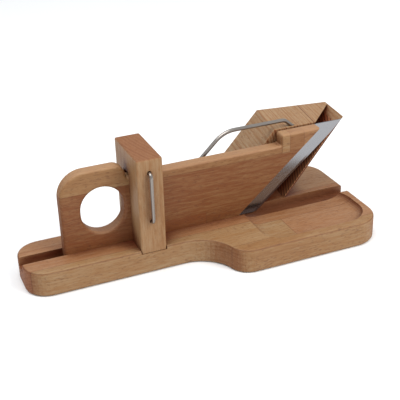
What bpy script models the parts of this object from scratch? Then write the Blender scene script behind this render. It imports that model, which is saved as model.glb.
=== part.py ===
"""Sausage guillotine: a wooden plank with a slanted blade slides in the groove of a base board,
through a post, and slices a sausage that leans on a slanted block under a wire arch.

Metres, +Z up. The origin is at the middle of the base board's underside, +X runs along the groove
towards the blade, and -Y is the side where the slices fall into the tray.
"""
import math

import bmesh
import bpy
from mathutils import Matrix, Vector

# Clearances
SEAT_GAP = 0.0003
RUN_GAP = 0.0004
HOLE_GAP = 0.0003
CUT_PAST = 0.002

# Base board
BASE_LENGTH = 0.3318
BASE_THICK = 0.0234
TAIL_HALF_WIDTH = 0.031
HEAD_HALF_WIDTH = 0.072
TAIL_CORNER_R = 0.0215
HEAD_CORNER_R = 0.027
NECK_START = 0.1446
NECK_HOLLOW_R = 0.0355
NECK_SHOULDER_R = 0.020
BASE_EDGE_R = 0.0022

# Groove along the board
GROOVE_DEPTH = 0.008

# Tray scooped out beside the groove
TRAY_LEFT = 0.2151
TRAY_RIGHT = 0.3250
TRAY_NEAR = 0.0627
TRAY_PAST_GROOVE = 0.0053
TRAY_DEPTH = 0.0055
TRAY_COVE = 0.014
TRAY_LEFT_R = 0.018
TRAY_RIGHT_R = 0.026

# Sliding plank, heights above the board's top
PLANK_THICK = 0.013
PLANK_LEFT = 0.0396
PLANK_EDGE_R = 0.0026
PLANK_FOOT_R = 0.0040
HANDLE_HEIGHT = 0.0761
HANDLE_RIGHT = 0.1012
HANDLE_LEFT_R = 0.024
HANDLE_RIGHT_R = 0.011
HANDLE_FOOT_R = 0.0015
WAIST_HEIGHT = 0.0633
NOSE_HEIGHT = 0.0742
NOSE_STEP = 0.2556
NOSE_STEP_R = 0.003
NOSE_STEP_FOOT_R = 0.0015
NOSE_FOOT = 0.2103
NOSE_TIP_R = 0.0027
NOSE_TIP_PAST = 0.001
FINGER_HOLE_CENTRE = 0.0778
FINGER_HOLE_HEIGHT = 0.0363
FINGER_HOLE_WIDTH = 0.0404
FINGER_HOLE_TALL = 0.0444
BLADE_SLOPE = math.radians(49.5)

# Blade, let into the plank's far side
BLADE_THICK = 0.0012
BLADE_LAND = 0.0002
BLADE_REACH = 0.0218
BLADE_GRIP = 0.0150
BLADE_BEVEL = 0.0030
BLADE_TOP = 0.0734
BLADE_FOOT = 0.0068
BLADE_TIP_CUT_HEIGHT = 0.0624
BLADE_TIP_CUT_RUN = 0.0110

# Post that bridges the plank
POST_LEFT = 0.1032
POST_WIDTH = 0.0240
POST_NEAR = 0.0307
POST_FAR = 0.0290
POST_HEIGHT = 0.0883
POST_SLOT_HEIGHT = 0.0675
POST_SEAT_DEPTH = 0.003
POST_EDGE_R = 0.0016

# Slanted block that the sausage leans on
BLOCK_FACE = 0.0076
BLOCK_RIGHT = 0.3307
BLOCK_WIDTH = 0.0752
BLOCK_TAPER = 0.0019
BLOCK_DEPTH = 0.0432
BLOCK_HEIGHT = 0.0747
BLOCK_LEAN = math.radians(39.5)
BLOCK_TURN = math.radians(8.5)
BLOCK_EDGE_R = 0.0006
RELIEF_MOUTH = 0.0310
RELIEF_TURN = math.radians(46.9)
RELIEF_LIP = 0.0030
RELIEF_RIM = 0.0006
RELIEF_CHAMFER = 0.0057

# Wire arch between the post and the block
ARCH_WIRE = 0.0038
ARCH_STAND_OFF = 0.0112
ARCH_TOP = 0.0811
ARCH_LEFT_BEND = 0.2038
ARCH_RIGHT_BEND = 0.2676
ARCH_LEFT_R = 0.028
ARCH_RIGHT_R = 0.008
ARCH_RISE = math.radians(43.5)
ARCH_DIP = math.radians(42.0)
ARCH_SEAT = 0.008

# Lock pin, a bent wire in the post's near side
PIN_WIRE = 0.0032
PIN_UPPER = 0.0754
PIN_LOWER = 0.0284
PIN_OFFSET = 0.0114
PIN_STAND_OFF = 0.0046
PIN_BEND_R = 0.0038
PIN_GUIDE = 0.042
PIN_BORE_GAP = 0.0004

# Wood screws from below, and the small screws of the blade
SCREW_SHANK_R = 0.0020
SCREW_HEAD_R = 0.0040
SCREW_HEAD_HEIGHT = 0.0024
SCREW_LENGTH = 0.038
SCREW_RECESS = 0.0012
SCREW_RIM_SHARE = 0.15
SCREW_TIP_SHARE = 0.35
POST_SCREW_OFFSET = 0.0100
BLADE_SCREW_SHANK_R = 0.0014
BLADE_SCREW_HEAD_R = 0.0026
BLADE_SCREW_HEAD_HEIGHT = 0.0010
BLADE_SCREW_LENGTH = 0.0090
BLADE_SCREW_INSET = 0.0083
BLADE_SCREW_HEIGHTS = (0.012, 0.036, 0.060)

# Places of the block's screws: along the board, and from the groove's centre line
BLOCK_SCREW_PLACES = ((0.2226, 0.022), (0.2266, 0.045), (0.2526, 0.043))

ARC_STEPS = 10
TURN_STEPS = 24
SMALLEST_R = 0.001

SLOT_HALF = PLANK_THICK / 2 + RUN_GAP
PLANK_BOTTOM = -GROOVE_DEPTH + RUN_GAP
BLADE_RUN = math.tan(BLADE_SLOPE)


def along(distance):
    """World X of a distance from the board's left end."""
    return distance - BASE_LENGTH / 2


def above(height):
    """World Z of a height above the board's top."""
    return BASE_THICK + height


def clear_scene():
    for item in list(bpy.data.objects):
        bpy.data.objects.remove(item, do_unlink=True)


def new_collection(name):
    group = bpy.data.collections.new(name)
    bpy.context.scene.collection.children.link(group)
    return group


def new_material(name, colour, roughness, metallic):
    material = bpy.data.materials.new(name)
    material.use_nodes = True
    shader = material.node_tree.nodes["Principled BSDF"]
    shader.inputs["Base Color"].default_value = (*colour, 1.0)
    shader.inputs["Roughness"].default_value = roughness
    shader.inputs["Metallic"].default_value = metallic
    material.diffuse_color = (*colour, 1.0)
    return material


def add_object(name, mesh, group, material=None):
    item = bpy.data.objects.new(name, mesh)
    group.objects.link(item)
    if material:
        mesh.materials.clear()
        mesh.materials.append(material)
    return item


def smooth(item, angle=math.radians(35)):
    item.data.shade_smooth()
    item.data.set_sharp_from_angle(angle=angle)


def arc(centre_x, centre_y, radius, start, end, steps=ARC_STEPS):
    """Points on an arc, both ends included, angles in degrees."""
    points = []
    for index in range(steps + 1):
        angle = math.radians(start + (end - start) * index / steps)
        points.append((centre_x + radius * math.cos(angle), centre_y + radius * math.sin(angle)))
    return points


def fillet(before, corner, after, radius, steps=ARC_STEPS):
    """Points that round the corner between two straight runs."""
    corner, before, after = Vector(corner), Vector(before), Vector(after)
    into, out = (before - corner).normalized(), (after - corner).normalized()
    half = into.angle(out) / 2
    centre = corner + (into + out).normalized() * (radius / math.sin(half))
    first = corner + into * (radius / math.tan(half)) - centre
    last = corner + out * (radius / math.tan(half)) - centre
    points = []
    for index in range(steps + 1):
        blend = first.slerp(last, index / steps)
        points.append(tuple(centre + blend.normalized() * radius))
    return points


def rounded_polygon(corners):
    """Outline from (x, y, radius) corners; a radius of 0 keeps the corner sharp."""
    points = []
    count = len(corners)
    for index, (x, y, radius) in enumerate(corners):
        if radius <= 0:
            points.append((x, y))
            continue
        before = corners[index - 1][:2]
        after = corners[(index + 1) % count][:2]
        points.extend(fillet(before, (x, y), after, radius))
    return points


def curve_to_mesh(curve, matrix):
    """Turns a curve into a closed mesh with its caps welded."""
    holder = bpy.data.objects.new(curve.name, curve)
    bpy.context.scene.collection.objects.link(holder)
    holder.matrix_world = matrix
    bpy.context.view_layer.update()
    graph = bpy.context.evaluated_depsgraph_get()
    mesh = bpy.data.meshes.new_from_object(holder.evaluated_get(graph))
    mesh.transform(matrix)
    bpy.data.objects.remove(holder, do_unlink=True)
    body = bmesh.new()
    body.from_mesh(mesh)
    bmesh.ops.remove_doubles(body, verts=body.verts, dist=0.000002)
    bmesh.ops.recalc_face_normals(body, faces=body.faces)
    body.to_mesh(mesh)
    body.free()
    return mesh


def flat_mesh(name, loops, thickness, edge_radius=0.0, edge_steps=3, matrix=None):
    """A board of the outline in the first loop, with the other loops as holes."""
    curve = bpy.data.curves.new(name, "CURVE")
    curve.dimensions = "2D"
    curve.fill_mode = "BOTH"
    curve.extrude = thickness / 2 - edge_radius
    curve.bevel_depth = edge_radius
    curve.bevel_resolution = edge_steps
    curve.offset = -edge_radius
    for loop in loops:
        spline = curve.splines.new("POLY")
        spline.points.add(len(loop) - 1)
        for point, (x, y) in zip(spline.points, loop):
            point.co = (x, y, 0, 1)
        spline.use_cyclic_u = True
    return curve_to_mesh(curve, matrix or Matrix())


def upright(y):
    """Places a board drawn in X and height so that it stands in the plane at y."""
    return Matrix.Translation((0, y, 0)) @ Matrix.Rotation(math.pi / 2, 4, "X")


def wire_mesh(name, route, diameter, sides=3):
    """A round wire along a list of points."""
    curve = bpy.data.curves.new(name, "CURVE")
    curve.dimensions = "3D"
    curve.bevel_depth = diameter / 2
    curve.bevel_resolution = sides
    curve.use_fill_caps = True
    spline = curve.splines.new("POLY")
    spline.points.add(len(route) - 1)
    for point, place in zip(spline.points, route):
        point.co = (*place, 1)
    return curve_to_mesh(curve, Matrix())


def loft_mesh(name, rings):
    """A closed solid through rings of equal length."""
    body = bmesh.new()
    rows = [[body.verts.new(place) for place in ring] for ring in rings]
    count = len(rows[0])
    for lower, upper in zip(rows, rows[1:]):
        for index in range(count):
            after = (index + 1) % count
            body.faces.new((lower[index], lower[after], upper[after], upper[index]))
    body.faces.new(list(reversed(rows[0])))
    body.faces.new(rows[-1])
    bmesh.ops.recalc_face_normals(body, faces=body.faces)
    mesh = bpy.data.meshes.new(name)
    body.to_mesh(mesh)
    body.free()
    return mesh


def box_mesh(name, low, high, edge_radius=0.0, edge_steps=3, square_below=None):
    """A box between two corners; edges that lie wholly below a height stay square."""
    body = bmesh.new()
    bmesh.ops.create_cube(body, size=1.0)
    low, high = Vector(low), Vector(high)
    for vert in body.verts:
        vert.co = Vector([low[k] + (vert.co[k] + 0.5) * (high[k] - low[k]) for k in range(3)])
    if edge_radius > 0:
        edges = list(body.edges)
        if square_below is not None:
            edges = [edge for edge in edges if any(vert.co.z > square_below for vert in edge.verts)]
        bmesh.ops.bevel(body, geom=edges, offset=edge_radius, segments=edge_steps, affect="EDGES", profile=0.5)
    bmesh.ops.recalc_face_normals(body, faces=body.faces)
    mesh = bpy.data.meshes.new(name)
    body.to_mesh(mesh)
    body.free()
    return mesh


def turned_mesh(name, profile, matrix):
    """A solid turned about Z from (radius, height) points, both ends on the axis."""
    rings = []
    for radius, height in profile:
        ring = []
        for index in range(TURN_STEPS):
            angle = 2 * math.pi * index / TURN_STEPS
            ring.append(matrix @ Vector((radius * math.cos(angle), radius * math.sin(angle), height)))
        rings.append(ring)
    return loft_mesh(name, rings)


def cut(item, mesh, cutters, operation="DIFFERENCE"):
    """Cuts one mesh out of an object with a Boolean that stays on it."""
    cutter = add_object("cut_" + mesh.name, mesh, cutters)
    cutter.hide_render = True
    cutter.display_type = "WIRE"
    change = item.modifiers.new("cut " + mesh.name, "BOOLEAN")
    change.operation = operation
    change.solver = "EXACT"
    change.object = cutter


def rounded_rectangle(left, right, near, far, radii, inset):
    """Outline inset by a distance; radii are for the near-left, near-right, far-right and far-left."""
    left, right, near, far = left + inset, right - inset, near + inset, far - inset
    corners = ((left, near), (right, near), (right, far), (left, far))
    inward = ((1, 1), (-1, 1), (-1, -1), (1, -1))
    points = []
    for index, ((x, y), (to_x, to_y), radius) in enumerate(zip(corners, inward, radii)):
        radius = max(radius - inset, SMALLEST_R)
        start = 180 + 90 * index
        points.extend(arc(x + to_x * radius, y + to_y * radius, radius, start, start + 90))
    return points


def board_side():
    """The near side of the board's outline from left to right, as x and half width."""
    total = HEAD_HALF_WIDTH - TAIL_HALF_WIDTH
    sweep = math.degrees(math.asin(1 - total / (NECK_HOLLOW_R + NECK_SHOULDER_R)))
    hollow_y = TAIL_HALF_WIDTH + NECK_HOLLOW_R
    points = arc(TAIL_CORNER_R, TAIL_HALF_WIDTH - TAIL_CORNER_R, TAIL_CORNER_R, 180, 90)
    points += arc(NECK_START, hollow_y, NECK_HOLLOW_R, -90, -sweep)
    last_x, last_y = points[-1]
    reach = NECK_SHOULDER_R
    shoulder_x = last_x + reach * math.cos(math.radians(sweep))
    shoulder_y = last_y - reach * math.sin(math.radians(sweep))
    points += arc(shoulder_x, shoulder_y, reach, 180 - sweep, 90)[1:]
    corner = HEAD_CORNER_R
    points += arc(BASE_LENGTH - corner, HEAD_HALF_WIDTH - corner, corner, 90, 0)
    return points


def board_outline():
    side = board_side()
    near = [(along(x), -y) for x, y in side]
    far = [(along(x), y) for x, y in reversed(side)]
    return near + far


def tray_mesh():
    """The scoop: a rounded outline that draws in along a quarter of an ellipse to a flat floor."""
    radii = (TRAY_LEFT_R, TRAY_RIGHT_R, TRAY_RIGHT_R, TRAY_LEFT_R)
    depths = [(0.0, CUT_PAST)]
    steps = 7
    for index in range(steps + 1):
        angle = math.pi / 2 * index / steps
        depths.append((TRAY_COVE * (1 - math.cos(angle)), -TRAY_DEPTH * math.sin(angle)))
    rings = []
    for inset, height in depths:
        outline = rounded_rectangle(
            along(TRAY_LEFT), along(TRAY_RIGHT), -TRAY_NEAR, TRAY_PAST_GROOVE, radii, inset)
        rings.append([(x, y, above(height)) for x, y in outline])
    return loft_mesh("tray", rings)


def post_box(grow, low_height, high_height):
    """Corners of the post's plan, grown by a gap, between two heights."""
    low = (along(POST_LEFT) - grow, -POST_NEAR - grow, above(low_height))
    high = (along(POST_LEFT + POST_WIDTH) + grow, POST_FAR + grow, above(high_height))
    return low, high


def screw_mesh(name, shank, head, head_height, length, matrix):
    """A countersunk screw: flat head at height 0, shank upwards, blunt point."""
    profile = ((head, 0), (head, head_height * SCREW_RIM_SHARE), (shank, head_height))
    profile += ((shank, length - shank), (shank * SCREW_TIP_SHARE, length))
    return turned_mesh(name, profile, matrix)


def screw_hole_mesh(name, shank, head, head_height, length, recess, matrix):
    """The clearance hole of such a screw, with room for the head below it."""
    gap = HOLE_GAP
    profile = ((head + gap, -recess - CUT_PAST), (head + gap, head_height * SCREW_RIM_SHARE))
    profile += ((shank + gap, head_height), (shank + gap, length + gap))
    return turned_mesh(name, profile, matrix)


def screw_places():
    """Name, X and Y of every wood screw."""
    middle = along(POST_LEFT + POST_SCREW_OFFSET)
    near_leg = -(POST_NEAR + SLOT_HALF) / 2
    far_leg = (POST_FAR + SLOT_HALF) / 2
    places = [("post_screw_near", middle, near_leg), ("post_screw_far", middle, far_leg)]
    for index, (x, y) in enumerate(BLOCK_SCREW_PLACES):
        places.append((f"block_screw_{index + 1}", along(x), y))
    return places


def screw_matrix(x, y):
    return Matrix.Translation((x, y, SCREW_RECESS))


def drill_screw(item, name, x, y, cutters):
    mesh = screw_hole_mesh(f"{name}_hole_{item.name}", SCREW_SHANK_R, SCREW_HEAD_R, SCREW_HEAD_HEIGHT,
                           SCREW_LENGTH, SCREW_RECESS, screw_matrix(x, y))
    cut(item, mesh, cutters)


def make_base(parts, cutters, wood):
    outline = board_outline()
    matrix = Matrix.Translation((0, 0, BASE_THICK / 2))
    item = add_object("base_board", flat_mesh("base_board", [outline], BASE_THICK, BASE_EDGE_R, 3, matrix),
                      parts, wood)
    smooth(item)
    end = BASE_LENGTH / 2 + CUT_PAST
    groove = box_mesh("groove", (-end, -SLOT_HALF, above(-GROOVE_DEPTH)), (end, SLOT_HALF, above(CUT_PAST)))
    cut(item, groove, cutters)
    cut(item, tray_mesh(), cutters)
    low, high = post_box(SEAT_GAP, -POST_SEAT_DEPTH, CUT_PAST)
    side = TAIL_HALF_WIDTH + CUT_PAST
    cut(item, box_mesh("post_seat", (low[0], -side, low[2]), (high[0], side, high[2])), cutters)
    for name, x, y in screw_places():
        drill_screw(item, name, x, y, cutters)
    return item


def make_post(parts, cutters, wood):
    low, high = post_box(0, -POST_SEAT_DEPTH + SEAT_GAP, POST_HEIGHT)
    mesh = box_mesh("guide_post", low, high, POST_EDGE_R, 3, square_below=above(0))
    item = add_object("guide_post", mesh, parts, wood)
    smooth(item)
    left, right = low[0] - CUT_PAST, high[0] + CUT_PAST
    slot = box_mesh("post_slot", (left, -SLOT_HALF, low[2] - CUT_PAST), (right, SLOT_HALF, above(POST_SLOT_HEIGHT)))
    cut(item, slot, cutters)
    for name, x, y in screw_places()[:2]:
        drill_screw(item, name, x, y, cutters)
    cut(item, pin_bore_mesh("pin_bore_upper", PIN_UPPER, PIN_GUIDE + 2 * HOLE_GAP), cutters)
    cut(item, pin_bore_mesh("pin_bore_lower", PIN_LOWER, POST_NEAR), cutters)
    cut(item, wire_mesh("arch_hole_post", arch_end(True, ARCH_SEAT + HOLE_GAP), ARCH_WIRE + 2 * HOLE_GAP), cutters)
    return item


def block_frame():
    """Matrix of the block's frame: X across it, Y along its grain, origin at its near top right corner."""
    corner = (along(BLOCK_RIGHT), BLOCK_FACE, above(BLOCK_HEIGHT))
    return Matrix.Translation(corner) @ Matrix.Rotation(-BLOCK_TURN, 4, "Z")


def relief_mesh():
    """The wedge relief in the block's near right corner, open at the top and to the near side."""
    lean = math.tan(BLOCK_LEAN)
    chamfer_rise = (RELIEF_LIP - RELIEF_RIM) / RELIEF_CHAMFER
    levels = ((CUT_PAST, RELIEF_RIM - chamfer_rise * CUT_PAST), (0.0, RELIEF_RIM),
              (-RELIEF_CHAMFER, RELIEF_LIP), (-BLOCK_HEIGHT - CUT_PAST, RELIEF_LIP))
    wall = Vector((math.cos(RELIEF_TURN), math.sin(RELIEF_TURN)))
    side = (block_frame().to_3x3() @ Vector((-BLOCK_TAPER, BLOCK_DEPTH, 0))).to_2d().normalized()
    rings = []
    for height, lip in levels:
        right = Vector((along(BLOCK_RIGHT) + lean * height - lip, BLOCK_FACE))
        left = Vector((along(BLOCK_RIGHT) - RELIEF_MOUTH + lean * height, BLOCK_FACE))
        across = right - left
        reach = across.cross(side) / wall.cross(side)
        apex = left + wall * reach
        left -= wall * (CUT_PAST / wall.y)
        right -= side * (CUT_PAST / side.y)
        rings.append([(*point, above(BLOCK_HEIGHT + height)) for point in (left, right, apex)])
    return loft_mesh("relief", rings)


def make_block(parts, cutters, wood):
    bottom = -BLOCK_HEIGHT + SEAT_GAP
    shift = math.tan(BLOCK_LEAN) * bottom
    lead = BLOCK_WIDTH * math.tan(BLOCK_TURN) * 2
    frame = block_frame()
    rings = []
    for y in (-lead, BLOCK_DEPTH):
        right = -BLOCK_TAPER * y / BLOCK_DEPTH
        section = ((right, 0), (-BLOCK_WIDTH, 0), (shift - BLOCK_WIDTH, bottom), (shift + right, bottom))
        rings.append([frame @ Vector((x, y, z)) for x, z in section])
    item = add_object("sausage_block", loft_mesh("sausage_block", rings), parts, wood)
    far = BLOCK_FACE - 2 * lead
    low = (-BASE_LENGTH, far - BASE_LENGTH, -BASE_THICK)
    high = (BASE_LENGTH, BLOCK_FACE, above(2 * BLOCK_HEIGHT))
    cut(item, box_mesh("block_face", low, high), cutters)
    bevel = item.modifiers.new("soft edges", "BEVEL")
    bevel.width = BLOCK_EDGE_R
    bevel.segments = 2
    bevel.limit_method = "ANGLE"
    bevel.angle_limit = math.radians(40)
    cut(item, relief_mesh(), cutters)
    for name, x, y in screw_places()[2:]:
        drill_screw(item, name, x, y, cutters)
    cut(item, wire_mesh("arch_hole_block", arch_end(False, ARCH_SEAT + HOLE_GAP), ARCH_WIRE + 2 * HOLE_GAP), cutters)
    return item


def nose_edge(height):
    """Distance along the board of the plank's slanted end at a height."""
    return NOSE_FOOT + BLADE_RUN * height


def plank_outline():
    """The plank's side view before its slanted end is sawn."""
    right = nose_edge(NOSE_HEIGHT) + NOSE_TIP_PAST
    shoulder_r = min(HANDLE_RIGHT_R, HANDLE_HEIGHT - WAIST_HEIGHT - HANDLE_FOOT_R)
    corners = (
        (PLANK_LEFT, PLANK_BOTTOM, PLANK_FOOT_R),
        (right, PLANK_BOTTOM, 0.0),
        (right, NOSE_HEIGHT, NOSE_TIP_R),
        (NOSE_STEP, NOSE_HEIGHT, NOSE_STEP_R),
        (NOSE_STEP, WAIST_HEIGHT, NOSE_STEP_FOOT_R),
        (HANDLE_RIGHT, WAIST_HEIGHT, HANDLE_FOOT_R),
        (HANDLE_RIGHT, HANDLE_HEIGHT, shoulder_r),
        (PLANK_LEFT, HANDLE_HEIGHT, HANDLE_LEFT_R),
    )
    return [(along(x), above(y)) for x, y in rounded_polygon(corners)]


def saw_mesh():
    """What the saw takes off to leave the plank's slanted end."""
    low, high = PLANK_BOTTOM - CUT_PAST, NOSE_HEIGHT + CUT_PAST
    right = nose_edge(high) + NOSE_TIP_PAST
    side = PLANK_THICK / 2 + CUT_PAST
    corners = ((nose_edge(low), low), (right, low), (right, high), (nose_edge(high), high))
    return loft_mesh("saw", [[(along(x), y, above(z)) for x, z in corners] for y in (-side, side)])


def finger_hole_outline():
    """An upright oval made of two half circles."""
    x, radius = along(FINGER_HOLE_CENTRE), FINGER_HOLE_WIDTH / 2
    rise = (FINGER_HOLE_TALL - FINGER_HOLE_WIDTH) / 2
    middle = above(FINGER_HOLE_HEIGHT)
    steps = 2 * ARC_STEPS
    return arc(x, middle + rise, radius, 0, 180, steps) + arc(x, middle - rise, radius, 180, 360, steps)


def blade_outline(bevel):
    """The blade's outline, with its cutting edge drawn in by the width of the bevel."""
    across = BLADE_REACH / math.cos(BLADE_SLOPE)
    back = BLADE_GRIP / math.cos(BLADE_SLOPE)
    inset = bevel / math.cos(BLADE_SLOPE)
    low, high = -BLADE_FOOT, BLADE_TOP
    tip_low = BLADE_TIP_CUT_HEIGHT
    tip_x = nose_edge(tip_low) + across
    points = (
        (nose_edge(low) - back, low),
        (nose_edge(low) + across - inset, low),
        (tip_x - inset, tip_low),
        (tip_x + BLADE_TIP_CUT_RUN - inset, high),
        (nose_edge(high) - back, high),
    )
    return [(along(x), above(z)) for x, z in points]


def rebate_mesh():
    """The rebate for the blade in the plank's far side, open at the slanted end, top and bottom."""
    back = (BLADE_GRIP + SEAT_GAP) / math.cos(BLADE_SLOPE)
    low, high = PLANK_BOTTOM - CUT_PAST, NOSE_HEIGHT + CUT_PAST
    right = nose_edge(high) + NOSE_TIP_PAST
    corners = ((nose_edge(low) - back, low), (right, low), (right, high), (nose_edge(high) - back, high))
    levels = (blade_levels()[0] - SEAT_GAP, PLANK_THICK / 2 + CUT_PAST)
    return loft_mesh("blade_rebate", [[(along(x), y, above(z)) for x, z in corners] for y in levels])


def blade_levels():
    """Y of the blade's near face, the top of its ground bevel and its far face."""
    far = PLANK_THICK / 2
    return far - BLADE_THICK, far - BLADE_LAND, far


def make_plank(parts, cutters, wood):
    middle = (PLANK_BOTTOM + HANDLE_HEIGHT) / 2
    mesh = flat_mesh("slide_plank", [plank_outline(), finger_hole_outline()], PLANK_THICK, PLANK_EDGE_R, 3, upright(0))
    origin = Vector((along(FINGER_HOLE_CENTRE), 0, above(middle)))
    mesh.transform(Matrix.Translation(-origin))
    item = add_object("slide_plank", mesh, parts, wood)
    item.location = origin
    smooth(item)
    cut(item, saw_mesh(), cutters)
    cut(item, rebate_mesh(), cutters)
    for index in range(len(BLADE_SCREW_HEIGHTS)):
        cut(item, blade_screw_hole_mesh(index, "plank"), cutters)
    return item


def blade_screw_matrix(index):
    """Head flush with the blade's far face, shank towards -Y."""
    height = BLADE_SCREW_HEIGHTS[index]
    x = along(nose_edge(height) - BLADE_SCREW_INSET / math.cos(BLADE_SLOPE))
    place = Matrix.Translation((x, PLANK_THICK / 2, above(height)))
    return place @ Matrix.Rotation(math.pi / 2, 4, "X")


def blade_screw_hole_mesh(index, name):
    return screw_hole_mesh(f"blade_screw_hole_{index + 1}_{name}", BLADE_SCREW_SHANK_R, BLADE_SCREW_HEAD_R,
                           BLADE_SCREW_HEAD_HEIGHT, BLADE_SCREW_LENGTH, 0, blade_screw_matrix(index))


def make_blade(plank, parts, cutters, steel):
    near, ground, far = blade_levels()
    rings = [[(x, near, z) for x, z in blade_outline(BLADE_BEVEL)]]
    for y in (ground, far):
        rings.append([(x, y, z) for x, z in blade_outline(0)])
    mesh = loft_mesh("blade", rings)
    item = add_object("blade", mesh, parts, steel)
    for index in range(len(BLADE_SCREW_HEIGHTS)):
        cut(item, blade_screw_hole_mesh(index, "blade"), cutters)
    attach(item, plank)
    for index in range(len(BLADE_SCREW_HEIGHTS)):
        name = f"blade_screw_{index + 1}"
        screw = screw_mesh(name, BLADE_SCREW_SHANK_R, BLADE_SCREW_HEAD_R, BLADE_SCREW_HEAD_HEIGHT,
                           BLADE_SCREW_LENGTH, blade_screw_matrix(index))
        attach(add_object(name, screw, parts, steel), plank)


def attach(item, carrier):
    """Parents a piece to its carrier and leaves it where it is."""
    item.parent = carrier
    item.matrix_parent_inverse = carrier.matrix_basis.inverted()


def arch_route():
    """The wire arch's corners in X and height: post end, two bends, block end."""
    start_x = POST_LEFT + POST_WIDTH
    start_z = ARCH_TOP - (ARCH_LEFT_BEND - start_x) * math.tan(ARCH_RISE)
    drop = ARCH_TOP - BLOCK_HEIGHT
    end_x = ARCH_RIGHT_BEND + drop / math.tan(ARCH_DIP)
    return ((start_x, start_z), (ARCH_LEFT_BEND, ARCH_TOP), (ARCH_RIGHT_BEND, ARCH_TOP), (end_x, BLOCK_HEIGHT))


def arch_end(at_post, depth):
    """Two points of the arch's straight end: outside its seat, and at the seat's bottom."""
    post_end, left_bend, right_bend, block_end = [Vector(point) for point in arch_route()]
    end, bend = (post_end, left_bend) if at_post else (block_end, right_bend)
    into = (end - bend).normalized()
    points = (end - into * (ARCH_WIRE + CUT_PAST), end + into * depth)
    return [(along(x), ARCH_STAND_OFF, above(z)) for x, z in points]


def make_arch(parts, steel):
    post_end, left_bend, right_bend, block_end = [Vector(point) for point in arch_route()]
    first = post_end + (post_end - left_bend).normalized() * ARCH_SEAT
    last = block_end + (block_end - right_bend).normalized() * ARCH_SEAT
    route = [tuple(first)]
    route += fillet(first, left_bend, right_bend, ARCH_LEFT_R)
    route += fillet(left_bend, right_bend, last, ARCH_RIGHT_R)
    route += [tuple(last)]
    places = [(along(x), ARCH_STAND_OFF, above(z)) for x, z in route]
    item = add_object("wire_arch", wire_mesh("wire_arch", places, ARCH_WIRE), parts, steel)
    smooth(item)


def pin_matrix(height, y):
    """A frame on one leg of the pin, its Z running into the post."""
    place = Matrix.Translation((along(POST_LEFT + PIN_OFFSET), y, above(height)))
    return place @ Matrix.Rotation(-math.pi / 2, 4, "X")


def pin_bore_mesh(name, height, depth):
    radius = PIN_WIRE / 2 + PIN_BORE_GAP
    return turned_mesh(name, ((radius, -CUT_PAST), (radius, depth)), pin_matrix(height, -POST_NEAR))


def make_pin(parts, steel):
    x = along(POST_LEFT + PIN_OFFSET)
    front = -POST_NEAR - PIN_STAND_OFF
    upper_tip = -POST_NEAR + PIN_GUIDE
    lower_tip = -PLANK_THICK / 2 - SEAT_GAP
    upper, lower = above(PIN_UPPER), above(PIN_LOWER)
    profile = [(upper_tip, upper)]
    profile += fillet((upper_tip, upper), (front, upper), (front, lower), PIN_BEND_R, 6)
    profile += fillet((front, upper), (front, lower), (lower_tip, lower), PIN_BEND_R, 6)
    profile += [(lower_tip, lower)]
    origin = Vector((x, front, upper))
    places = [Vector((x, y, z)) - origin for y, z in profile]
    item = add_object("lock_pin", wire_mesh("lock_pin", places, PIN_WIRE, 2), parts, steel)
    item.location = origin
    smooth(item)


def make_wood_screws(parts, steel):
    for name, x, y in screw_places():
        mesh = screw_mesh(name, SCREW_SHANK_R, SCREW_HEAD_R, SCREW_HEAD_HEIGHT, SCREW_LENGTH, screw_matrix(x, y))
        item = add_object(name, mesh, parts, steel)
        smooth(item)


def main():
    clear_scene()
    parts = new_collection("sausage_guillotine")
    cutters = new_collection("cutters")
    base_wood = new_material("base beech", (0.50, 0.31, 0.19), 0.55, 0.0)
    post_wood = new_material("post beech", (0.55, 0.36, 0.23), 0.55, 0.0)
    plank_wood = new_material("plank beech", (0.48, 0.28, 0.16), 0.5, 0.0)
    block_wood = new_material("block beech", (0.56, 0.37, 0.24), 0.55, 0.0)
    blade_steel = new_material("blade steel", (0.72, 0.73, 0.75), 0.25, 1.0)
    wire_steel = new_material("wire steel", (0.66, 0.66, 0.67), 0.3, 1.0)
    make_base(parts, cutters, base_wood)
    make_post(parts, cutters, post_wood)
    make_block(parts, cutters, block_wood)
    plank = make_plank(parts, cutters, plank_wood)
    make_blade(plank, parts, cutters, blade_steel)
    make_arch(parts, wire_steel)
    make_pin(parts, wire_steel)
    make_wood_screws(parts, wire_steel)


main()
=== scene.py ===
"""Looks of the sausage guillotine: oiled beech staves, a polished blade and drawn wire."""
import math
from collections import namedtuple

import bpy
from mathutils import Matrix, Vector

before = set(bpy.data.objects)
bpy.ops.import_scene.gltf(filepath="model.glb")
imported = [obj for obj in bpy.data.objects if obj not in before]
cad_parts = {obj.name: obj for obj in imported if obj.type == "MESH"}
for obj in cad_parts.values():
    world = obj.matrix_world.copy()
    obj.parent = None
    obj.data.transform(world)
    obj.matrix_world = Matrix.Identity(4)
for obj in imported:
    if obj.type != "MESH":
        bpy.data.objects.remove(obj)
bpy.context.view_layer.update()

# Camera of the photograph, in metres and degrees
CAMERA_PLACE = Vector((-0.2668, -0.6704, 0.4201))
CAMERA_YAW = math.radians(22.253)
CAMERA_PITCH = math.radians(27.362)
CAMERA_ROLL = math.radians(-1.715)
CAMERA_LENS = 78.25
SENSOR = 36.0

# The frame's measures that the looks refer to, in metres
BASE_LEFT = -0.1653
BASE_TOP = 0.0234
BLOCK_TURN = math.radians(8.5)
BLOCK_CORNER = (BASE_LEFT + 0.3301, 0.0076, BASE_TOP)
BLADE_SLOPE = math.radians(49.5)
POST_PLACE = BASE_LEFT + 0.113
GROOVE_HALF = 0.0072
GROOVE_FLOOR = 0.0153
TRAY_WALL = (0.0186, 0.0230)

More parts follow.
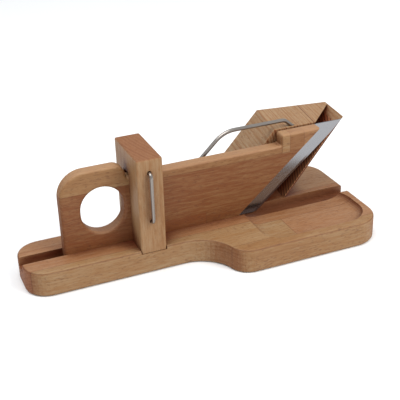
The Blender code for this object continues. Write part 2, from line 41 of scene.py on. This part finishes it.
# The wedge sawn out of the block: the direction across its inner wall, the wall's and the rim's range in
# that direction, how far up the wall may face, and the saw's direction, its marks' distance and darkness
WEDGE_SIDE = (-0.769, 0.081, 0.634)
WEDGE_WALL = (-0.0620, -0.0606)
WEDGE_RIM = (-0.0636, -0.0620)
WEDGE_LEAN = 0.70
SAW_TRAVEL = (-0.529, 0.475, -0.703)
SAW_MARKS = 0.0034
SAW_EDGE = (-0.1, 0.9)
SAW_SHARE = 0.85

ALONG_X = (1, 0, 0)
ALONG_Y = (0, 1, 0)
UP = (0, 0, 1)
BLOCK_GRAIN = (math.sin(BLOCK_TURN), math.cos(BLOCK_TURN), 0)
BLOCK_ACROSS = (math.cos(BLOCK_TURN), -math.sin(BLOCK_TURN), 0)
POST_GRAIN = (0.02, 0.03, 1)

# A stave is one length of wood in a glued piece: its two sides across the grain, its tone from 0, pale,
# to 1, deep brown, its redness, and its start and end along the grain
Stave = namedtuple("Stave", "low high tone red start end")
# Tone and redness outside the staves, and the staves
Timber = namedtuple("Timber", "tone red staves")
# Place of the pith across the grain, distance of the rings, how far they wander, and their darkness on
# long faces and on end grain
Rings = namedtuple("Rings", "pith spacing wobble on_faces on_ends")
# Shares of dark flecks, of the oil that the end grain drinks, of a painted highlight on what faces up
# and of the glue lines' darkness; whether the piece's own form alone makes its painted shade in inner
# corners; and whether it has the sawn wedge
Finish = namedtuple("Finish", "flecks soaked rubbed glue alone sawn")
# A steel: its roughness, the direction of its grinding lines and their number per metre
Steel = namedtuple("Steel", "name colour roughness lines_along lines")
Lamp = namedtuple("Lamp", "name place target size power colour")

# Rows of the base across the groove, and the joints along it
BASE_ROWS = (-0.080, -0.058, -0.022, 0.014, 0.050, 0.080)
TRAY_JOINTS = (0.247,)
FAR_JOINTS = (0.210,)
# Rows of the plank above and below its wide dark stave, and their joints
PLANK_TOP_ROW = (0.056, 0.1)
PLANK_TOP_JOINTS = (0.113, 0.256, 0.264, 0.279)
PLANK_LOW_ROW = (-0.02, 0.011)
PLANK_LOW_JOINTS = (0.176,)
# The block's one glue line, the width of all glue lines, and a place beyond every piece's end
BLOCK_SEAM = -0.0322
SEAM_WIDTH = 0.0008
FAR = 1.0

# Noise scales along the grain and twice across it, per metre
CLOUD_SCALES = (12.0, 45.0, 45.0)
SPOT_SCALES = (260.0, 1300.0, 1300.0)
CROWD_SCALES = (22.0, 70.0, 70.0)
RING_BEND_SCALES = (5.0, 26.0, 26.0)
# Streaks per metre across the grain, and how many times longer they are along it
FINE_FIBRES = (650.0, 8.0)
COARSE_FIBRES = (300.0, 16.0)
# How much each noise moves the tone
CLOUD_SWING = 0.34
COARSE_SWING = 0.36
FINE_SWING = 0.80
# How much crowds thicken the flecks, and the range of noise over which a fleck fades in
CROWD_SWING = 0.30
FLECK_EDGE = (0.58, 0.70)
# Each stave takes its noise from a place that is its own step away, and its rings from a share of that
FIRST_SHIFT = 0.37
NEXT_SHIFT = 0.61
CROSS_SHIFT = 0.031

# Growth rings: slow change of their distance, the dark part of each one, and how faint some are
UNEVEN_SCALE = 0.33
UNEVEN_REACH = 3.0
RING_RISE = (0.30, 0.90)
RING_FALL = (0.90, 1.0)
FAINT_SCALE = 160.0
FAINT_WINDOW = (0.35, 0.65)
FAINTEST = 0.35

# Where a face counts as end grain and where it faces up, from the normal's share in that direction
END_WINDOW = (0.40, 0.85)
UPWARD_WINDOW = (0.25, 0.90)
# Painted shade in inner corners: its reach, how open a place still darkens, and the heights over which it
# fades in above the table
CREVICE_REACH = 0.020
CREVICE_SAMPLES = 8
CREVICE_WINDOW = (0.30, 1.0)
ABOVE_TABLE = (0.009, 0.020)
# The groove's painted shade at its foot: the heights over which it fades out, and its share
GROOVE_DARK = (0.0150, 0.0195)
GROOVE_SHARE = 0.75
# The tray's walls, which get painted shade: how steep they start and how flat they end, and its share
TRAY_STEEP = (0.25, 0.60)
TRAY_FLAT = (0.88, 0.985)
TRAY_SHARE = 0.45

# Wood's surface: its gloss, its roughness and how fibres and flecks change it, and its shallow pores
WOOD_SPECULAR = 0.32
WOOD_ROUGH = 0.42
FIBRE_ROUGH = 0.22
END_ROUGH = 0.18
FIBRE_HEIGHT = 0.6
FLECK_HEIGHT = 0.7
WOOD_BUMP = {"Strength": 0.35, "Distance": 0.00025}

# Steel's surface: grinding lines, long for their width, and duller smears
LINE_STRETCH = 0.02
LINE_SHARE = 0.35
LINE_SHADE = 0.8
SMEAR_SCALE = 45.0
SMEAR_ROUGH = 0.12
STEEL_BUMP = {"Strength": 0.08, "Distance": 0.0001}

FLOOR_SIZE = 12.0
FLOOR_DROP = 0.0004
FLOOR_ROUGH = 0.7
FLOOR_SPECULAR = 0.1
FLOOR_TONES = ((0.90, 0.90, 0.90, 1.0), (0.92, 0.92, 0.92, 1.0))
FLOOR_SCALE = 3.0

SKY_COLOUR = (0.94, 0.97, 1.0, 1.0)
SKY_POWER = 0.74
LAMPS = (
    Lamp("key", place=(0.80, -1.00, 1.20), target=(0, 0, 0.03), size=0.9, power=16.0,
         colour=(1.0, 0.98, 0.95)),
    Lamp("top", place=(-0.4, -0.1, 1.65), target=(0, 0, 0), size=1.2, power=15.0,
         colour=(1.0, 1.0, 1.0)))


def srgb(red, green, blue):
    """Linear colour from 0 to 255 display values."""
    channels = []
    for value in (red, green, blue):
        share = value / 255
        channels.append(share / 12.92 if share <= 0.04045 else ((share + 0.055) / 1.055) ** 2.4)
    return (*channels, 1.0)


PALE = srgb(156, 130, 97)
WARM = srgb(139, 101, 63)
DEEP = srgb(114, 65, 31)
FLECK = srgb(92, 50, 28)
# Painted highlight laid on what faces up, standing in for the sheen of light on those tops
TOP_HIGHLIGHT = srgb(182, 144, 110)
SAWN = srgb(182, 128, 90)
SCORCHED = srgb(98, 56, 34)
BLADE_GREY = srgb(150, 150, 153)
WIRE_GREY = srgb(146, 139, 133)
SCREW_GREY = srgb(170, 170, 168)
# Colours that multiply what is under them
RED_TINT = (1.04, 0.90, 0.93, 1.0)
END_TINT = (0.72, 0.50, 0.40, 1.0)
# Painted shade for inner corners, the groove's foot and the tray's sloping walls
CREVICE_SHADE = (0.36, 0.14, 0.07, 1.0)


class Tree:
    """One material and short calls that add nodes to it."""

    def __init__(self, name):
        self.material = bpy.data.materials.new(name)
        self.material.use_nodes = True
        self.nodes = self.material.node_tree.nodes
        self.links = self.material.node_tree.links
        self.shader = self.nodes["Principled BSDF"]

    def put(self, socket, value):
        if isinstance(value, bpy.types.NodeSocket):
            self.links.new(value, socket)
        else:
            socket.default_value = value

    def add(self, kind, inputs, **settings):
        node = self.nodes.new(kind)
        for key, value in settings.items():
            setattr(node, key, value)
        for key, value in inputs.items():
            self.put(node.inputs[key], value)
        return node

    def math(self, operation, first, second=0.0):
        return self.add("ShaderNodeMath", {0: first, 1: second}, operation=operation).outputs[0]

    def vector(self, operation, first, second):
        node = self.add("ShaderNodeVectorMath", {0: first, 1: second}, operation=operation)
        return node.outputs["Value"] if operation in ("DOT_PRODUCT", "LENGTH") else node.outputs["Vector"]

    def place(self):
        return self.add("ShaderNodeTexCoord", {}).outputs["Object"]

    def facing(self, axis):
        """Share of the surface's normal along an axis of the object."""
        normal = self.add("ShaderNodeTexCoord", {}).outputs["Normal"]
        return self.vector("DOT_PRODUCT", normal, tuple(Vector(axis).normalized()))

    def combine(self, x, y, z):
        return self.add("ShaderNodeCombineXYZ", {0: x, 1: y, 2: z}).outputs[0]

    def mix(self, share, first, second, blend="MIX"):
        node = self.nodes.new("ShaderNodeMix")
        node.data_type = "RGBA"
        node.blend_type = blend
        self.put(node.inputs["Factor"], share)
        for socket in node.inputs:
            if socket.type == "RGBA" and socket.name == "A":
                self.put(socket, first)
            if socket.type == "RGBA" and socket.name == "B":
                self.put(socket, second)
        return [socket for socket in node.outputs if socket.type == "RGBA"][0]

    def noise(self, vector, scale=1.0, detail=2.0, roughness=0.5, distortion=0.0):
        values = {"Vector": vector, "Scale": scale, "Detail": detail, "Roughness": roughness,
                  "Distortion": distortion}
        return self.add("ShaderNodeTexNoise", values).outputs[0]

    def window(self, value, low, high, to_low=0.0, to_high=1.0):
        """Smoothly maps a range of a value to another range."""
        values = {"Value": value, "From Min": low, "From Max": high, "To Min": to_low, "To Max": to_high}
        return self.add("ShaderNodeMapRange", values, interpolation_type="SMOOTHSTEP").outputs[0]

    def scaled(self, space, scales):
        """A vector of the three coordinates, each times its own number."""
        return self.combine(*[self.math("MULTIPLY", axis, scale) for axis, scale in zip(space, scales)])

    def sum(self, first, *others):
        total = first
        for other in others:
            total = self.math("ADD", total, other)
        return total

    def swing(self, value, reach):
        """A 0 to 1 value turned into one that swings round 0."""
        return self.math("MULTIPLY", self.math("SUBTRACT", value, 0.5), reach)


def grain_space(tree, along, across, middle):
    """Object coordinates turned so that the first one runs along the grain."""
    moved = tree.vector("SUBTRACT", tree.place(), middle)
    along, across = Vector(along).normalized(), Vector(across).normalized()
    third = along.cross(across)
    return [tree.vector("DOT_PRODUCT", moved, tuple(axis)) for axis in (along, across, third)]


def between(tree, value, low, high):
    """1 inside a range and 0 outside it."""
    above = tree.math("GREATER_THAN", value, low)
    below = tree.math("LESS_THAN", value, high)
    return tree.math("MULTIPLY", above, below)


def near_line(tree, value, place, width):
    """1 on a line across a value and 0 away from it."""
    offset = tree.math("ABSOLUTE", tree.math("SUBTRACT", value, place))
    return tree.math("LESS_THAN", offset, width / 2)


def ring_radius(tree, space, rings):
    """Distance from the pith, bent a little and stretched where the tree grew fast."""
    bend = tree.swing(tree.noise(tree.scaled(space, RING_BEND_SCALES), detail=3.0), rings.wobble)
    offsets = [tree.math("SUBTRACT", axis, pith) for axis, pith in zip(space[1:], rings.pith)]
    radius = tree.math("ADD", tree.vector("LENGTH", tree.combine(0.0, *offsets), (0, 0, 0)), bend)
    count = tree.math("MULTIPLY", radius, UNEVEN_SCALE / rings.spacing)
    growth = tree.noise(tree.combine(0.0, 0.0, count), detail=1.0)
    return tree.math("ADD", radius, tree.swing(growth, UNEVEN_REACH * rings.spacing))


def growth_rings(tree, space, rings):
    """Late-wood lines: thin and dark, at unequal distances, round a far-off pith."""
    radius = ring_radius(tree, space, rings)
    phase = tree.math("FRACT", tree.math("DIVIDE", radius, rings.spacing))
    rise = tree.window(phase, *RING_RISE)
    fall = tree.window(phase, *RING_FALL, 1.0, 0.0)
    varied = tree.noise(tree.combine(0.0, tree.math("MULTIPLY", radius, FAINT_SCALE), 0.0), detail=1.0)
    faint = tree.window(varied, *FAINT_WINDOW, FAINTEST, 1.0)
    return tree.math("MULTIPLY", tree.math("MULTIPLY", rise, fall), faint)


def fibres(tree, space, across, stretch):
    """Long thin streaks along the grain."""
    stretched = tree.scaled(space, (across / stretch, across, across))
    return tree.noise(stretched, detail=4.0, roughness=0.6, distortion=0.3)


def flecks(tree, space):
    """The short dark rays of beech, a few millimetres long, in loose crowds."""
    spots = tree.noise(tree.scaled(space, SPOT_SCALES), detail=1.0, roughness=0.4)
    crowd = tree.noise(tree.scaled(space, CROWD_SCALES))
    return tree.window(tree.math("ADD", spots, tree.swing(crowd, CROWD_SWING)), *FLECK_EDGE)


def end_grain(tree, along):
    """1 where the surface cuts across the fibres and 0 on the long faces."""
    return tree.window(tree.math("ABSOLUTE", tree.facing(along)), *END_WINDOW)


def upper_side(tree):
    """1 on what faces up and 0 on upright faces."""
    return tree.window(tree.facing(UP), *UPWARD_WINDOW)


def groove_shade(tree, height):
    """A large share of painted shade on the groove's floor and on the foot of its walls."""
    side = tree.vector("DOT_PRODUCT", tree.place(), ALONG_Y)
    in_groove = tree.math("MULTIPLY", between(tree, side, -GROOVE_HALF, GROOVE_HALF),
                          tree.math("GREATER_THAN", height, GROOVE_FLOOR))
    return tree.math("MULTIPLY", in_groove, tree.window(height, *GROOVE_DARK, GROOVE_SHARE, 0.0))


def tray_wall_shade(tree, height):
    """A smaller share of painted shade on the sloping walls of the tray."""
    up = tree.facing(UP)
    off_floor = tree.window(up, *TRAY_FLAT, TRAY_SHARE, 0.0)
    sloping = tree.math("MULTIPLY", tree.window(up, *TRAY_STEEP), off_floor)
    return tree.math("MULTIPLY", sloping, between(tree, height, *TRAY_WALL))


def crevice_shade(tree, alone):
    """1 deep in an inner corner and 0 in the open: the share of painted shade there."""
    node = tree.add("ShaderNodeAmbientOcclusion", {"Distance": CREVICE_REACH}, only_local=alone,
                    samples=CREVICE_SAMPLES)
    depth = tree.window(node.outputs["AO"], *CREVICE_WINDOW, 1.0, 0.0)
    if alone:
        return depth
    height = tree.vector("DOT_PRODUCT", tree.place(), UP)
    corners = tree.math("MULTIPLY", depth, tree.window(height, *ABOVE_TABLE))
    hollows = tree.math("MAXIMUM", corners, groove_shade(tree, height))
    return tree.math("MAXIMUM", hollows, tray_wall_shade(tree, height))


def sawn_wedge(tree, colour):
    """Dark evenly spaced saw marks on the inner wall of the block's wedge, and its dark rim."""
    place = tree.place()
    depth = tree.vector("DOT_PRODUCT", place, WEDGE_SIDE)
    travel = tree.vector("DOT_PRODUCT", place, SAW_TRAVEL)
    wave = tree.math("SINE", tree.math("MULTIPLY", travel, 2 * math.pi / SAW_MARKS))
    marked = tree.mix(tree.window(wave, *SAW_EDGE, 0.0, SAW_SHARE), SAWN, SCORCHED)
    below_top = tree.math("LESS_THAN", tree.facing(UP), WEDGE_LEAN)
    on_wall = tree.math("MULTIPLY", between(tree, depth, *WEDGE_WALL), below_top)
    on_rim = tree.math("MULTIPLY", between(tree, depth, *WEDGE_RIM), below_top)
    return tree.mix(on_rim, tree.mix(on_wall, colour, marked), SCORCHED)


def swapped(tree, value, new, inside):
    """A value with a new one in its place where a mask is 1."""
    kept = tree.math("MULTIPLY", value, tree.math("SUBTRACT", 1.0, inside))
    return tree.math("ADD", kept, tree.math("MULTIPLY", inside, new))


def stave_pattern(tree, space, timber):
    """Tone, redness, a shift of the figure, and the glue lines, from the staves of a glued piece."""
    tone, red = timber.tone, timber.red
    shift, seam = 0.0, 0.0
    for index, stave in enumerate(timber.staves):
        in_row = between(tree, space[1], stave.low, stave.high)
        in_length = between(tree, space[0], stave.start, stave.end)
        inside = tree.math("MULTIPLY", in_row, in_length)
        tone = swapped(tree, tone, stave.tone, inside)
        red = swapped(tree, red, stave.red, inside)
        step = FIRST_SHIFT + NEXT_SHIFT * index
        shift = tree.math("ADD", shift, tree.math("MULTIPLY", inside, step))
        butt = tree.math("MULTIPLY", near_line(tree, space[0], stave.start, SEAM_WIDTH), in_row)
        long = tree.math("MULTIPLY", near_line(tree, space[1], stave.low, SEAM_WIDTH), in_length)
        seam = tree.math("MAXIMUM", seam, tree.math("MAXIMUM", butt, long))
    return tone, red, shift, seam


def beech_ramp(tree, tone):
    """From pale over warm to deep brown wood."""
    ramp = tree.add("ShaderNodeValToRGB", {0: tone})
    stops = ramp.color_ramp.elements
    stops[0].position, stops[0].color = 0.0, PALE
    stops[1].position, stops[1].color = 1.0, DEEP
    stops.new(0.5).color = WARM
    return ramp.outputs[0]


def wood_surface(tree, streak, dots, ends):
    """Gloss that the fibres break up, duller end grain, and shallow pores."""
    gloss = tree.sum(tree.math("MULTIPLY", streak, FIBRE_ROUGH), tree.math("MULTIPLY", ends, END_ROUGH),
                     WOOD_ROUGH)
    tree.put(tree.shader.inputs["Roughness"], gloss)
    height = tree.math("SUBTRACT", tree.math("MULTIPLY", streak, FIBRE_HEIGHT),
                       tree.math("MULTIPLY", dots, FLECK_HEIGHT))
    bump = tree.add("ShaderNodeBump", {"Height": height, **WOOD_BUMP})
    tree.put(tree.shader.inputs["Normal"], bump.outputs[0])
    tree.shader.inputs["Specular IOR Level"].default_value = WOOD_SPECULAR


def wood_finish(tree, colour, seam, dots, ends, finish):
    """Flecks, glue lines, soaked ends, saw marks, and painted highlight on tops and shade in corners."""
    specked = tree.mix(tree.math("MULTIPLY", dots, finish.flecks), colour, FLECK)
    glued = tree.mix(tree.math("MULTIPLY", seam, finish.glue), specked, FLECK)
    soaked = tree.mix(tree.math("MULTIPLY", ends, finish.soaked), glued, END_TINT, "MULTIPLY")
    # Painted highlight on upward faces
    highlighted = tree.mix(tree.math("MULTIPLY", upper_side(tree), finish.rubbed), soaked, TOP_HIGHLIGHT)
    if finish.sawn:
        highlighted = sawn_wedge(tree, highlighted)
    # Painted shade multiplied into inner corners
    return tree.mix(crevice_shade(tree, finish.alone), highlighted, CREVICE_SHADE, "MULTIPLY")


def oiled_beech(name, space_of, along, timber, rings, finish):
    """Beech in one or more staves, oiled, with end grain that drinks more oil."""
    tree = Tree(name)
    space = space_of(tree)
    tone, red, shift, seam = stave_pattern(tree, space, timber)
    shifted = [tree.math("ADD", axis, shift) for axis in space]
    across = tree.math("ADD", space[1], tree.math("MULTIPLY", shift, CROSS_SHIFT))
    ends = end_grain(tree, along)
    streak = fibres(tree, shifted, *FINE_FIBRES)
    coarse = fibres(tree, shifted, *COARSE_FIBRES)
    cloud = tree.noise(tree.scaled(shifted, CLOUD_SCALES))
    dots = flecks(tree, shifted)
    contrast = tree.window(ends, 0.0, 1.0, rings.on_faces, rings.on_ends)
    lines = tree.math("MULTIPLY", growth_rings(tree, [space[0], across, space[2]], rings), contrast)
    tone = tree.sum(tone, tree.swing(cloud, CLOUD_SWING), tree.swing(coarse, COARSE_SWING),
                    tree.swing(streak, FINE_SWING), lines)
    bare = tree.mix(red, beech_ramp(tree, tone), RED_TINT, "MULTIPLY")
    tree.put(tree.shader.inputs["Base Color"], wood_finish(tree, bare, seam, dots, ends, finish))
    wood_surface(tree, streak, dots, ends)
    return tree.material


def base_space(tree):
    return grain_space(tree, ALONG_X, ALONG_Y, (BASE_LEFT, 0, BASE_TOP))


def plank_space(tree):
    return grain_space(tree, ALONG_X, UP, (BASE_LEFT, 0, BASE_TOP))


def post_space(tree):
    return grain_space(tree, POST_GRAIN, ALONG_X, (POST_PLACE, 0, BASE_TOP))


def block_space(tree):
    return grain_space(tree, BLOCK_GRAIN, BLOCK_ACROSS, BLOCK_CORNER)


def row_of_staves(sides, joints, shades):
    """One row across the grain, cut at its joints, with a tone and redness for each length."""
    ends = (-FAR, *joints, FAR)
    return [Stave(*sides, *shade, *span) for shade, span in zip(shades, zip(ends, ends[1:]))]


def base_timber():
    """Five rows, two of them with a butt joint."""
    near, tray, groove, far, rim = zip(BASE_ROWS, BASE_ROWS[1:])
    return Timber(tone=0.35, red=0.2, staves=(
        *row_of_staves(near, (), [(0.42, 0.0)]),
        *row_of_staves(tray, TRAY_JOINTS, [(0.34, 0.0), (0.38, 0.9)]),
        *row_of_staves(groove, (), [(0.43, 0.9)]),
        *row_of_staves(far, FAR_JOINTS, [(0.36, 0.9), (0.20, 0.7)]),
        *row_of_staves(rim, (), [(0.28, 0.6)])))


def plank_timber():
    """A dark wide stave, paler ones above the finger hole, short ones in the nose, and a dark row below."""
    top_shades = [(0.50, 0.0), (0.62, 0.0), (0.42, 0.0), (0.72, 0.1), (0.50, 0.4)]
    return Timber(tone=0.90, red=0.0, staves=(
        *row_of_staves(PLANK_TOP_ROW, PLANK_TOP_JOINTS, top_shades),
        *row_of_staves(PLANK_LOW_ROW, PLANK_LOW_JOINTS, [(0.96, 0.4), (0.88, 0.0)])))


def block_timber():
    """Two staves, glued on a line that shows on the block's top."""
    return Timber(tone=0.22, red=0.2, staves=row_of_staves((BLOCK_SEAM, FAR), (), [(0.24, 0.3)]))


def dress(node, material):
    """Gives a CAD node its material."""
    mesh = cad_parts[node].data
    mesh.materials.clear()
    mesh.materials.append(material)


def dress_wood():
    dress("base_board", oiled_beech(
        "base beech", base_space, ALONG_X, base_timber(),
        Rings(pith=(-0.03, -0.16), spacing=0.0034, wobble=0.006, on_faces=0.12, on_ends=0.30),
        Finish(flecks=0.45, soaked=0.75, rubbed=0.0, glue=0.45, alone=False, sawn=False)))
    dress("slide_plank", oiled_beech(
        "plank beech", plank_space, ALONG_X, plank_timber(),
        Rings(pith=(0.11, 0.09), spacing=0.0036, wobble=0.008, on_faces=0.12, on_ends=0.25),
        Finish(flecks=0.50, soaked=0.0, rubbed=0.35, glue=0.35, alone=True, sawn=False)))
    dress("guide_post", oiled_beech(
        "post beech", post_space, POST_GRAIN, Timber(tone=0.36, red=0.2, staves=()),
        Rings(pith=(0.25, 0.06), spacing=0.0038, wobble=0.004, on_faces=0.12, on_ends=0.40),
        Finish(flecks=0.16, soaked=1.0, rubbed=0.10, glue=0.0, alone=False, sawn=False)))
    dress("sausage_block", oiled_beech(
        "block beech", block_space, BLOCK_GRAIN, block_timber(),
        Rings(pith=(0.20, -0.12), spacing=0.0034, wobble=0.005, on_faces=0.40, on_ends=0.95),
        Finish(flecks=0.35, soaked=0.50, rubbed=0.0, glue=0.9, alone=True, sawn=True)))


def ground_steel(steel):
    """Bright steel with fine grinding lines along one axis."""
    tree = Tree(steel.name)
    place = tree.place()
    axis = Vector(steel.lines_along).normalized()
    side = axis.cross(Vector(ALONG_Y)).normalized()
    along = tree.vector("DOT_PRODUCT", place, tuple(axis))
    across = tree.vector("DOT_PRODUCT", place, tuple(side))
    drawn = tree.combine(tree.math("MULTIPLY", along, steel.lines * LINE_STRETCH),
                         tree.math("MULTIPLY", across, steel.lines), 0.0)
    lines = tree.noise(drawn, detail=3.0, roughness=0.7)
    smear = tree.noise(place, SMEAR_SCALE, detail=3.0)
    darker = (*[channel * LINE_SHADE for channel in steel.colour[:3]], 1.0)
    shade = tree.mix(tree.math("MULTIPLY", lines, LINE_SHARE), steel.colour, darker)
    tree.put(tree.shader.inputs["Base Color"], shade)
    rough = tree.math("ADD", steel.roughness, tree.math("MULTIPLY", smear, SMEAR_ROUGH))
    tree.put(tree.shader.inputs["Roughness"], rough)
    bump = tree.add("ShaderNodeBump", {"Height": lines, **STEEL_BUMP})
    tree.put(tree.shader.inputs["Normal"], bump.outputs[0])
    tree.shader.inputs["Metallic"].default_value = 1.0
    return tree.material


def dress_steel():
    across_blade = (math.cos(BLADE_SLOPE), 0, -math.sin(BLADE_SLOPE))
    blade = Steel("blade steel", BLADE_GREY, roughness=0.16, lines_along=across_blade, lines=2600.0)
    wire = Steel("wire steel", WIRE_GREY, roughness=0.24, lines_along=(1, 0, 0.1), lines=900.0)
    screw = Steel("screw steel", SCREW_GREY, roughness=0.24, lines_along=UP, lines=1500.0)
    screws = [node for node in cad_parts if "screw" in node]
    for steel, nodes in ((blade, ["blade"]), (wire, ["wire_arch", "lock_pin"]), (screw, screws)):
        material = ground_steel(steel)
        for node in nodes:
            dress(node, material)


def square(name, size, height):
    half = size / 2
    corners = [(-half, -half, 0), (half, -half, 0), (half, half, 0), (-half, half, 0)]
    mesh = bpy.data.meshes.new(name)
    mesh.from_pydata(corners, [], [(0, 1, 2, 3)])
    item = bpy.data.objects.new(name, mesh)
    item.location = (0, 0, height)
    bpy.context.scene.collection.objects.link(item)
    return item


def make_floor():
    floor = square("floor", FLOOR_SIZE, -FLOOR_DROP)
    tree = Tree("pale floor")
    tree.put(tree.shader.inputs["Base Color"], tree.mix(tree.noise(tree.place(), FLOOR_SCALE), *FLOOR_TONES))
    tree.shader.inputs["Roughness"].default_value = FLOOR_ROUGH
    tree.shader.inputs["Specular IOR Level"].default_value = FLOOR_SPECULAR
    floor.data.materials.append(tree.material)


def make_lamp(lamp):
    light = bpy.data.lights.new(lamp.name, "AREA")
    light.shape = "DISK"
    light.size = lamp.size
    light.energy = lamp.power
    light.color = lamp.colour
    item = bpy.data.objects.new(lamp.name, light)
    item.location = lamp.place
    item.rotation_mode = "QUATERNION"
    item.rotation_quaternion = (Vector(lamp.target) - Vector(lamp.place)).to_track_quat("-Z", "Y")
    bpy.context.scene.collection.objects.link(item)


def make_lights():
    world = bpy.data.worlds.new("studio")
    world.use_nodes = True
    background = world.node_tree.nodes["Background"]
    background.inputs["Color"].default_value = SKY_COLOUR
    background.inputs["Strength"].default_value = SKY_POWER
    bpy.context.scene.world = world
    for lamp in LAMPS:
        make_lamp(lamp)


def camera_turn():
    """Rotation from yaw, pitch and roll, with yaw measured from +Y towards +X."""
    right = Vector((math.cos(CAMERA_YAW), -math.sin(CAMERA_YAW), 0))
    level = math.cos(CAMERA_PITCH)
    forward = Vector((math.sin(CAMERA_YAW) * level, math.cos(CAMERA_YAW) * level, -math.sin(CAMERA_PITCH)))
    up = right.cross(forward)
    rolled_right = right * math.cos(CAMERA_ROLL) + up * math.sin(CAMERA_ROLL)
    rolled_up = up * math.cos(CAMERA_ROLL) - right * math.sin(CAMERA_ROLL)
    return Matrix((rolled_right, rolled_up, -forward)).transposed()


def make_camera():
    camera = bpy.data.cameras.new("camera")
    camera.lens = CAMERA_LENS
    camera.sensor_width = SENSOR
    item = bpy.data.objects.new("camera", camera)
    item.matrix_world = Matrix.Translation(CAMERA_PLACE) @ camera_turn().to_4x4()
    bpy.context.scene.collection.objects.link(item)
    bpy.context.scene.camera = item


dress_wood()
dress_steel()
make_floor()
make_lights()
make_camera()
bpy.context.scene.view_settings.view_transform = "Standard"
